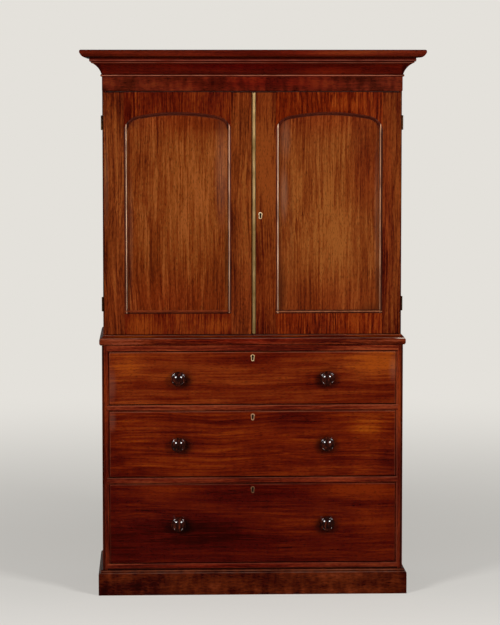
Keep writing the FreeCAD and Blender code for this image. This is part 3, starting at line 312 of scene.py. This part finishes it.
# ---- lines that several pieces share ----
def bead_bands(uprights, sill):
    """Panel moulding: painted shade in its steps, its arch painted dark as shade with a painted highlight on
    the edge of its hollow, and the lines (middle, half width, colour, share) of painted highlight and painted
    shade along its uprights and its sill."""
    arch = [("Y", 2.4, 1.1, CREVICE_SHADE, 0.85), ("Z", 781.0, 62.0, "#30100a", 0.85),
            ("Y", 5.4, 2.2, "#8c3e28", 0.6)]
    # the painted highlights dim towards the top of the uprights and towards the sill
    fades = [("Z", 781.0, 30.0, "#4a1c10", 0.4), ("Z", 3.0, 210.0, "#3a140a", 0.5)]
    return (arch + [("X",) + line for line in uprights] + fades + [("Z",) + line for line in sill]
            + [("Z", 1.0, 3.2, CREVICE_SHADE, 0.9)])


def drawer_bands(piece, highlight_share):
    """Painted highlight along the rounded edge of a drawer front, and painted shade in the gap round it;
    highlight_share is how strong the highlight is.
    """
    width, _, height = box(piece)[1]
    return [("Z", height - 2.0, 2.6, "#84503a", highlight_share + 0.1), ("X", 2.0, 2.6, "#74402c", highlight_share),
            ("X", width - 2.0, 2.6, "#6d3a28", highlight_share), ("X", -1.5, 1.6, CREVICE_SHADE, 0.6),
            ("X", width + 1.5, 1.6, CREVICE_SHADE, 0.6), ("Z", height + 1.5, 2.2, CREVICE_SHADE, 0.8),
            ("Z", -0.5, 4.0, CREVICE_SHADE, 0.9)]


def knob_shadow(height):
    """Painted shadow round the foot of each knob, nearly black."""
    return [((across, height), (60, 52), "#120300", 0.95) for across in (282, 841)]


# plinth's moulded top: painted highlights on its rounds, and painted shade in the lines beside them
plinth_painted_lines = [("Z", 94.0, 2.2, "#84543e", 0.5), ("Z", 86.0, 2.0, "#94705f", 0.25),
                ("Z", 98.5, 2.0, CREVICE_SHADE, 0.9), ("Z", 90.5, 2.0, CREVICE_SHADE, 0.4)]

# ---- finishes of the pieces ----
# Every board is sawn from its own part of the log (its seed): patches are lighter or darker ovals, the ovals
# of a set colour are painted sheen, painted highlight and painted shade, and bands are painted highlights and
# painted shade along its edges. The tones are darker low down on the press, partly as painted shade where the
# light falls off. Most of the lightening is in the middle of the panels, along the meeting stile and at the
# right of the drawers, and the darker parts are under the arches and low at the left.
boards = {
    "left_door_panel": dict(
        name="ribbon_mahogany_left_panel", along="Z", seed=1.0,
        tones=["#431404", "#582005", "#682b0b", "#733913", "#84451c"],
        redder=[((215, 785), (420, 130), 0.5), ((215, 20), (420, 200), 0.45),
                ((130, 90), (200, 160), 0.15)],
        patches=[((240, 480), (130, 330), 0.4), ((360, 150), (40, 280), -0.4), ((90, 640), (35, 300), -0.3),
                 ((340, 740), (130, 50), -0.25), ((70, 300), (30, 220), 0.3)],
        # greyish painted sheen near the edges, and painted shade along the moulding and in the top corners
        sheen_and_shade=[((385, 550), (38, 270), "#7a5440", 0.25), ((32, 330), (16, 300), "#543428", 0.3),
               ((400, 200), (9, 280), "#1c0a04", 0.6), ((24, 150), (10, 240), "#2a0c04", 0.4),
               ((40, 745), (55, 40), "#3a1208", 0.35), ((380, 725), (34, 60), "#3a1208", 0.35)],
        bands=[("X", 26.0, 6.0, CREVICE_SHADE, 0.45)]),
    "right_door_panel": dict(
        name="ribbon_mahogany_right_panel", along="Z", seed=2.0,
        tones=["#421705", "#571f07", "#672d0d", "#733713", "#81471c"],
        redder=[((205, 785), (420, 130), 0.55), ((205, 20), (420, 200), 0.4),
                ((360, 560), (110, 230), 0.4)],
        patches=[((210, 280), (150, 280), 0.55), ((240, 550), (100, 330), 0.45), ((85, 430), (25, 260), 0.5),
                 ((365, 640), (45, 150), -0.35), ((105, 50), (25, 180), -0.3)],
        # greyish painted sheen near the edges, and painted shade along the moulding and in the lower corners
        sheen_and_shade=[((45, 680), (30, 120), "#80604a", 0.2), ((398, 390), (14, 400), "#5f4030", 0.3),
               ((30, 80), (28, 200), "#250b04", 0.5), ((40, 470), (22, 140), "#8a6248", 0.35),
               ((390, 20), (100, 44), "#2a0c04", 0.45), ((402, 120), (10, 140), "#1c0a04", 0.4),
               ((68, 390), (12, 260), "#481a0c", 0.35)],
        bands=[("X", 401.0, 4.0, CREVICE_SHADE, 0.3), ("X", 26.0, 6.0, CREVICE_SHADE, 0.3)]),
    "left_door_stiles": dict(
        name="ribbon_mahogany_left_stiles", along="Z", seed=3.0,
        tones=["#340a02", "#451504", "#5b2408", "#6e300f", "#7b4017"],
        redder=[((285, 945), (700, 170), 0.5), ((285, 65), (700, 300), 0.45)],
        patches=[((550, 440), (45, 420), 0.35), ((35, 280), (45, 280), 0.25), ((505, 150), (20, 260), -0.25),
                 ((55, 910), (45, 110), -0.25)],
        # greyish painted sheen by the outer edge
        sheen_and_shade=[((12, 585), (14, 240), "#5a3e2e", 0.3)],
        bands=[("X", 1.3, 2.6, CREVICE_SHADE, 0.7), ("X", 570.5, 2.0, CREVICE_SHADE, 0.5), ("Z", 933.0, 3.0, CREVICE_SHADE, 0.8)]),
    "right_door_stiles": dict(
        name="ribbon_mahogany_right_stiles", along="Z", seed=4.0,
        tones=["#2e0601", "#400d03", "#501a05", "#652b0c", "#733511"],
        redder=[((45, 945), (90, 200), 0.3), ((45, 45), (90, 380), 0.4), ((520, 485), (36, 700), 0.5)],
        patches=[((50, 620), (110, 320), 0.7), ((80, 180), (90, 300), 0.5), ((515, 640), (80, 300), 0.35)],
        bands=[("X", 575.8, 2.6, CREVICE_SHADE, 0.7), ("Z", 933.0, 3.0, CREVICE_SHADE, 0.8)]),
    "left_door_rails": dict(
        name="mahogany_left_rails", along="Z", seed=5.0,
        tones=["#310400", "#400901", "#581704", "#6b2807", "#79320b"],
        stripe=(110, 7), shares=(1.0, 0.3, 1.0, 1.5, 0.4),
        patches=[((120, 30), (120, 80), 0.45), ((410, 35), (110, 40), 0.25), ((395, 910), (60, 120), -0.25)]),
    "right_door_rails": dict(
        name="mahogany_right_rails", along="Z", seed=6.0,
        tones=["#330500", "#460d01", "#5e1903", "#732a07", "#81370e"],
        stripe=(110, 7), shares=(1.0, 0.3, 1.0, 1.5, 0.4),
        patches=[((215, 15), (70, 120), -0.35), ((350, 30), (40, 120), 0.35), ((310, 885), (110, 40), 0.3),
                 ((430, 910), (60, 120), -0.35)]),
    "left_door_moulding": dict(
        name="mahogany_left_panel_moulding", along="Z", seed=7.0,
        tones=["#2c0a03", "#3f1105", "#521a08", "#62240d", "#713013"],
        gloss=0.3, shine=0.1,
        bands=bead_bands([(15.0, 5.5, CREVICE_SHADE, 0.85), (397.9, 3.6, CREVICE_SHADE, 1.0), (8.2, 2.3, "#f2c29c", 1.0),
                          (3.7, 2.0, CREVICE_SHADE, 0.6), (404.5, 2.4, "#ecb894", 1.0), (407.9, 1.6, CREVICE_SHADE, 0.6)],
                         [(9.5, 4.5, "#7d3416", 0.8)])),
    "right_door_moulding": dict(
        name="mahogany_right_panel_moulding", along="Z", seed=8.0,
        tones=["#2c0a03", "#3f1105", "#521a08", "#62240d", "#713013"],
        gloss=0.3, shine=0.1,
        bands=bead_bands([(0.0, 2.4, CREVICE_SHADE, 0.6), (14.5, 3.0, CREVICE_SHADE, 0.4), (409.0, 3.0, CREVICE_SHADE, 0.9),
                          (7.6, 3.0, "#f4c8a2", 1.0), (403.4, 2.4, "#d09870", 1.0)],
                         [(11.5, 3.0, CREVICE_SHADE, 0.6), (7.0, 2.2, "#b87850", 0.8)])),
    "drawer_1_front": dict(
        name="mahogany_top_drawer", along="X", seed=9.0,
        tones=["#2f0400", "#440901", "#591703", "#6f2908", "#853909"],
        curl=0.2, shares=(0.9, 0.7, 0.8, 0.7, 0.15),
        patches=[((1050, 155), (200, 90), 0.4), ((70, 150), (110, 60), 0.35), ((550, 175), (200, 35), -0.3),
                 ((810, 80), (170, 70), -0.2)],
        # greyish painted sheen at the ends, and painted shadow round the knobs
        sheen_and_shade=[((10, 75), (24, 90), "#6a4436", 0.28), ((1100, 135), (22, 70), "#6a4436", 0.28)]
        + knob_shadow(95),
        bands=drawer_bands("drawer_1_front", 0.3)),
    "drawer_2_front": dict(
        name="mahogany_middle_drawer", along="X", seed=10.0,
        tones=["#2e0300", "#400701", "#5a1602", "#712804", "#863c07"],
        curl=0.2, shares=(0.9, 0.7, 0.7, 0.7, 0.15),
        patches=[((1000, 190), (100, 60), 0.4), ((260, 140), (200, 80), -0.3), ((720, 220), (180, 60), -0.25),
                 ((1090, 60), (90, 100), -0.3)],
        # greyish painted sheen at the left end, and painted shadow round the knobs
        sheen_and_shade=[((10, 220), (22, 60), "#6a4436", 0.28)] + knob_shadow(120),
        bands=drawer_bands("drawer_2_front", 0.3)),
    "drawer_3_front": dict(
        name="mahogany_bottom_drawer", along="X", seed=11.0,
        tones=["#1e0100", "#2e0300", "#3e0501", "#521101", "#651d02"],
        curl=0.2, shares=(1.0, 0.6, 0.7, 0.7, 0.15),
        patches=[((1000, 285), (340, 60), 0.65), ((300, 120), (330, 130), -0.25),
                 ((1060, 160), (170, 110), 0.3), ((220, 285), (220, 40), 0.3),
                 ((700, 150), (260, 80), 0.2)],
        sheen_and_shade=knob_shadow(144),
        bands=drawer_bands("drawer_3_front", 0.1)),
    "chest_rails": dict(
        name="mahogany_chest_rails", along="X", seed=12.0,
        tones=["#340702", "#460f05", "#5a1a0a", "#6a2711", "#7b3418"],
        redder=[((475, 9), (560, 24), 0.9), ((865, 341), (200, 24), 0.4)],
        patches=[((120, 860), (260, 20), 0.4), ((550, 860), (260, 20), -0.35), ((1030, 860), (260, 20), 0.45),
                 ((120, 12), (260, 20), -0.4), ((880, 12), (260, 20), 0.3)],
        bands=[("Z", 640.5, 2.2, "#8a5038", 0.4), ("Z", 358.0, 2.2, "#84503a", 0.3),
               ("Z", 20.5, 2.2, "#7a4432", 0.3), ("Z", 623.2, 2.0, CREVICE_SHADE, 0.8), ("Z", 338.6, 2.0, CREVICE_SHADE, 0.9),
               ("Z", 852.4, 2.2, CREVICE_SHADE, 0.9), ("Z", 643.4, 1.4, CREVICE_SHADE, 0.7), ("Z", 360.9, 1.4, CREVICE_SHADE, 0.9),
               ("Z", 22.9, 1.2, CREVICE_SHADE, 0.6), ("Z", 2.0, 4.5, CREVICE_SHADE, 0.9)]),
    "chest_sides": dict(
        name="mahogany_chest_sides", along="Z", seed=13.0,
        tones=["#170100", "#290200", "#3a0702", "#551807", "#72290b"],
        shares=(1.4, 0.5, 0.6, 0.8, 0.3),
        patches=[((15, 650), (25, 340), 0.6), ((1150, 680), (25, 320), 0.45)],
        bands=[("X", 5.0, 4.6, CREVICE_SHADE, 0.8), ("X", 1161.0, 4.6, CREVICE_SHADE, 0.8),
               ("X", 1144.0, 3.0, "#6d3a2a", 0.3)]),
    "plinth_front": dict(
        name="mahogany_plinth", along="X", seed=14.0,
        tones=["#1f0200", "#2e0501", "#421203", "#551d07", "#682910"],
        curl=1.0, ribbon=(160, 40), stripe=(120, 16), shares=(1.2, 0.7, 0.5, 0.3, 0.5),
        patches=[((110, 30), (300, 60), -0.4), ((1000, 15), (220, 30), 0.3)],
        bands=plinth_painted_lines),
    "plinth_returns": dict(
        name="mahogany_plinth_returns", along="Y", seed=15.0,
        tones=["#1e0200", "#2e0701", "#421507", "#55220f", "#68301a"],
        curl=0.5, bands=plinth_painted_lines),
    "waist_moulding": dict(
        name="mahogany_waist_moulding", along="X", seed=16.0,
        tones=["#2a0602", "#3a0903", "#4d1604", "#66250f", "#7a3820"],
        redder=[((575, 20), (520, 30), 0.9), ((575, 24), (480, 14), 0.4)],
        patches=[((130, 20), (260, 20), 0.35), ((880, 15), (260, 16), -0.25)],
        # a pale painted highlight on the top of the right end
        sheen_and_shade=[((1171, 25.6), (36, 3, 11), "#e8d6c4", 0.9)],
        bands=[("Z", 27.2, 2.0, "#9c6c5a", 0.5), ("Z", 1.5, 3.0, CREVICE_SHADE, 0.7)]),
    "press_base_moulding": dict(
        name="mahogany_press_base_moulding", along="X", seed=17.0,
        tones=["#2d0702", "#400b02", "#531503", "#642504", "#763308"],
        patches=[((1020, 7), (260, 16), 0.25), ((60, 6), (180, 12), 0.3)],
        bands=[("Z", 1.0, 1.6, CREVICE_SHADE, 0.7), ("Z", 10.0, 1.8, "#7d5040", 0.5)]),
    "press_sides": dict(
        name="mahogany_press_sides", along="Z", seed=18.0,
        tones=["#2e0601", "#420d03", "#561708", "#6c2511", "#7c341b"]),
    "frieze": dict(
        name="flame_mahogany_frieze", along="X", seed=19.0,
        tones=["#200200", "#310801", "#401004", "#521709", "#61230d"],
        curl=1.5, shares=(1.2, 0.5, 0.5, 0.3, 0.4),
        redder=[((620, 30), (480, 60), 1.0), ((640, 40), (240, 30), 0.5)],
        patches=[((30, 25), (45, 45), 0.65), ((280, 14), (260, 35), 0.4), ((860, 25), (140, 35), 0.35)]),
    "cornice_cavetto": dict(
        name="mahogany_cornice_hollow", along="X", seed=20.0,
        tones=["#270200", "#350400", "#420801", "#540f02", "#621c02"],
        curl=0.3, shares=(0.9, 0.6, 0.5, 0.4, 0.3),
        redder=[((625, 45), (560, 32), 1.0), ((545, 43), (260, 24), 0.8)],
        # the two darkest ovals are painted shadow in the mitred ends
        patches=[((35, 18), (18, 44), -0.8), ((1210, 18), (18, 44), -0.8), ((940, 15), (240, 30), 0.45)],
        bands=[("Z", 4.8, 2.4, "#a8684e", 0.6), ("Z", 9.8, 1.5, CREVICE_SHADE, 0.7), ("Z", 62.5, 2.4, "#8a5040", 0.5),
               ("Z", 70.0, 4.0, CREVICE_SHADE, 0.6), ("Z", 57.9, 1.8, CREVICE_SHADE, 0.7), ("Z", 53.5, 2.4, "#70402e", 0.6)]),
    "cornice_crown": dict(
        name="mahogany_cornice_crown", along="X", seed=21.0,
        tones=["#2b0100", "#380701", "#450e02", "#591706", "#672509"],
        shares=(0.9, 0.6, 0.5, 0.4, 0.3),
        redder=[((700, 20), (480, 60), 0.6)],
        patches=[((1030, 19), (300, 16), 0.4)],
        bands=[("Z", 27.5, 2.2, "#2a0a04", 0.6), ("Z", 2.0, 4.0, CREVICE_SHADE, 0.8)], bare_above=28.6),
}
finishes = {piece: mahogany(piece, **look) for piece, look in boards.items()}

pine_tones = ["#8f5f30", "#ad7a40", "#c69556", "#d4a768"]
pine = plain_wood("bare_pine_darkened_by_age", "Z", pine_tones, 1.0)
pine_level = plain_wood("bare_pine_level_boards", "X", pine_tones, 2.0)
pine_lipped = plain_wood("bare_pine_with_dark_front_edge", "X", pine_tones, 5.0, lipping=-176.0)
cedar_tones = ["#7d4a2a", "#935b36", "#a66c44", "#b57c53"]
cedar = plain_wood("bare_cedar_drawer_boxes", "Y", cedar_tones, 3.0, turned=("Y", 228.5, "X"))
cedar_level = plain_wood("bare_cedar_trays", "X", cedar_tones, 4.0, turned=("X", 541.0, "Y"))
for piece in ("chest_back", "press_back"):
    finishes[piece] = pine
for piece in ("glue_blocks", "chest_runners", "chest_dust_boards", "chest_top", "cornice_top"):
    finishes[piece] = pine_level
for piece in ("press_top", "press_bottom"):
    finishes[piece] = pine_lipped
finishes["tray_bearers"] = cedar
for number in (1, 2, 3, 4):
    finishes["tray_%d" % number] = cedar_level

brass = aged_brass("aged_brass_hardware", ["#a07a48", "#c4a06a", "#dcbf8e"], 1.0, 0.45)
for piece in ("bolt_plates", "left_top_bolt", "left_bottom_bolt"):
    finishes[piece] = brass
finishes["meeting_strip"] = aged_brass("aged_brass_meeting_strip", ["#7d6238", "#93764c", "#a5885e"],
                                       5.0, 0.5, stain=110)
# knuckles browned by polish and air until they are nearly as dark as the wood
hinge_brass = aged_brass("browned_brass_hinges", ["#2a1a0e", "#3d2815", "#5a3f22"], 9.0, 0.45)
for piece in ("case_hinges", "left_door_hinges", "right_door_hinges"):
    finishes[piece] = hinge_brass
oiled_brass = aged_brass("oiled_black_lock_bolts", ["#1c140c", "#33261a", "#4a3a28"], 6.0, 0.4)
finishes["door_lock_bolt"] = oiled_brass
finishes["door_lock"] = lock_brass("door_lock", "door_lock_brass", (32.6, 34.3), 1.1,
                                   ["#c89c6c", "#e8c898", "#fbe8c6"])

# the keyhole threads are lighter on the top drawer and darker on the bottom one
drawer_threads = [["#b08656", "#d6b280", "#ecd0a2"], ["#9a6a48", "#b88a66", "#cfa684"],
                  ["#5e3a26", "#7a5438", "#94704e"]]
for number, thread in enumerate(drawer_threads, 1):
    drawer = "drawer_%d_" % number
    finishes[drawer + "box"] = cedar
    finishes[drawer + "bottom"] = cedar_level
    finishes[drawer + "lock"] = lock_brass(drawer + "lock", "drawer_lock_brass_%d" % number, (30, 21.5),
                                           number * 2.3, thread)
    finishes[drawer + "bolt"] = oiled_brass
    finishes[drawer + "knobs"] = knob_polish("ebonised_turned_knobs_%d" % number, number * 3.7)

for piece, finish in finishes.items():
    nodes[piece].data.materials.clear()
    nodes[piece].data.materials.append(finish)

# ---- plain pale floor ----
floor_middle = 6.0           # metres behind the press, so that the floor runs on past it
bpy.ops.mesh.primitive_plane_add(size=30.0, location=(0, floor_middle, 0))
floor = bpy.context.active_object
floor.name = "studio_floor"
floor.visible_glossy = False
# matt painted floor, pale warm grey, faintly soiled in marks about 1250 mm long; it runs into the
# backdrop a few metres out
floor_paint, tree, shader = shaded("matt_floor_paint")
place = add(tree, "ShaderNodeTexCoord").outputs["Object"]
soil = add(tree, "ShaderNodeTexNoise", {"Vector": place, "Scale": 1000 / 1250, "Detail": 3.0})
paint = add(tree, "ShaderNodeValToRGB", {0: soil.outputs[0]}, stops=[(0.3, "#f0ede7"), (0.7, "#f5f2ed")])
tree.links.new(paint.outputs[0], shader.inputs["Base Color"])
shader.inputs["Roughness"].default_value = 0.9
fade_start, fade_end = 0.4, 6.5  # metres from the middle of the press
away = add(tree, "ShaderNodeVectorMath", {0: place, 1: (0, -floor_middle, 0)}, operation="DISTANCE")
fade = add(tree, "ShaderNodeMapRange",
           {"Value": away.outputs["Value"], "From Min": fade_start, "From Max": fade_end,
            "To Min": 0.42, "To Max": 1.0}, interpolation_type="SMOOTHSTEP")
eye = add(tree, "ShaderNodeLightPath").outputs["Is Camera Ray"]
fade_seen = add(tree, "ShaderNodeMath", {0: fade.outputs[0], 1: eye}, operation="MULTIPLY")
sweep = add(tree, "ShaderNodeEmission", {0: colour(BACKDROP), 1: 1.0})
ground = add(tree, "ShaderNodeMixShader", {0: fade_seen.outputs[0], 1: shader.outputs[0],
                                           2: sweep.outputs[0]})
tree.links.new(ground.outputs[0], tree.nodes["Material Output"].inputs["Surface"])
floor.data.materials.append(floor_paint)

# ---- studio round it ----
world = bpy.data.worlds.new("studio")
bpy.context.scene.world = world
world.use_nodes = True
tree = world.node_tree
tree.nodes.clear()
rays = add(tree, "ShaderNodeLightPath")
seen = add(tree, "ShaderNodeMath",
           {0: rays.outputs["Is Glossy Ray"], 1: rays.outputs["Is Transmission Ray"]}, operation="MAXIMUM")
way = add(tree, "ShaderNodeSeparateXYZ", {0: add(tree, "ShaderNodeTexCoord").outputs["Generated"]})
# polish mirrors a little of the backdrop behind the press; the studio in front of it is dark
behind = add(tree, "ShaderNodeMapRange", {"Value": way.outputs["Y"], "From Min": 0.3, "From Max": 0.9,
                                          "To Min": 0.0, "To Max": 0.12})
above = add(tree, "ShaderNodeMapRange", {"Value": way.outputs["Z"], "From Min": -0.1, "From Max": 0.1})
clear = add(tree, "ShaderNodeMath", {0: behind.outputs[0], 1: above.outputs[0]}, operation="MULTIPLY")
mirrored = add(tree, "ShaderNodeMath", {0: seen.outputs[0], 1: clear.outputs[0]}, operation="MULTIPLY")
pale = add(tree, "ShaderNodeMath", {0: rays.outputs["Is Camera Ray"], 1: mirrored.outputs[0]},
           operation="MAXIMUM")
backdrop = add(tree, "ShaderNodeBackground", {0: colour(BACKDROP), 1: 1.0})
fill = add(tree, "ShaderNodeBackground", {0: colour("#ffffff"), 1: 0.13})
dark = add(tree, "ShaderNodeBackground", {0: colour("#ffffff"), 1: 0.015})
unseen = add(tree, "ShaderNodeMixShader", {0: seen.outputs[0], 1: fill.outputs[0], 2: dark.outputs[0]})
mixed = add(tree, "ShaderNodeMixShader", {0: pale.outputs[0], 1: unseen.outputs[0],
                                          2: backdrop.outputs[0]})
add(tree, "ShaderNodeOutputWorld", {0: mixed.outputs[0]})


def soft_box(name, place, aim, size, power):
    """Square area lamp turned toward a point; metres and watts."""
    lamp = bpy.data.lights.new(name, "AREA")
    lamp.shape = "SQUARE"
    lamp.size = size
    lamp.energy = power
    holder = bpy.data.objects.new(name, lamp)
    bpy.context.scene.collection.objects.link(holder)
    back = [a - b for a, b in zip(place, aim)]
    yaw = math.atan2(back[0], -back[1])
    pitch = math.atan2(math.hypot(back[0], back[1]), back[2])
    holder.location = place
    holder.rotation_euler = (pitch, 0, yaw)


under_waist = (0, -0.2, 0.9)     # on the front of the press
across, power = 1.2, 165         # of each soft box
soft_box("soft_box_left", (-2.9, -4.3, 2.6), under_waist, across, power)
soft_box("soft_box_right", (3.0, -4.1, 2.6), under_waist, across, power)

# ---- camera, ten metres in front and a little below the cornice's top; its turns are in degrees ----
turned, tilted, rolled = -2.11, 85.0, -0.015
lens = bpy.data.cameras.new("camera")
lens.lens = 149.66
lens.sensor_width = 36.0
camera = bpy.data.objects.new("camera", lens)
bpy.context.scene.collection.objects.link(camera)
camera.location = (-0.3788, -10.205, 1.9765)
turn = (Matrix.Rotation(math.radians(turned), 3, "Z") @ Matrix.Rotation(math.radians(tilted), 3, "X")
        @ Matrix.Rotation(math.radians(rolled), 3, "Z"))
camera.rotation_euler = turn.to_euler()
bpy.context.scene.camera = camera
bpy.context.scene.view_settings.view_transform = "Standard"
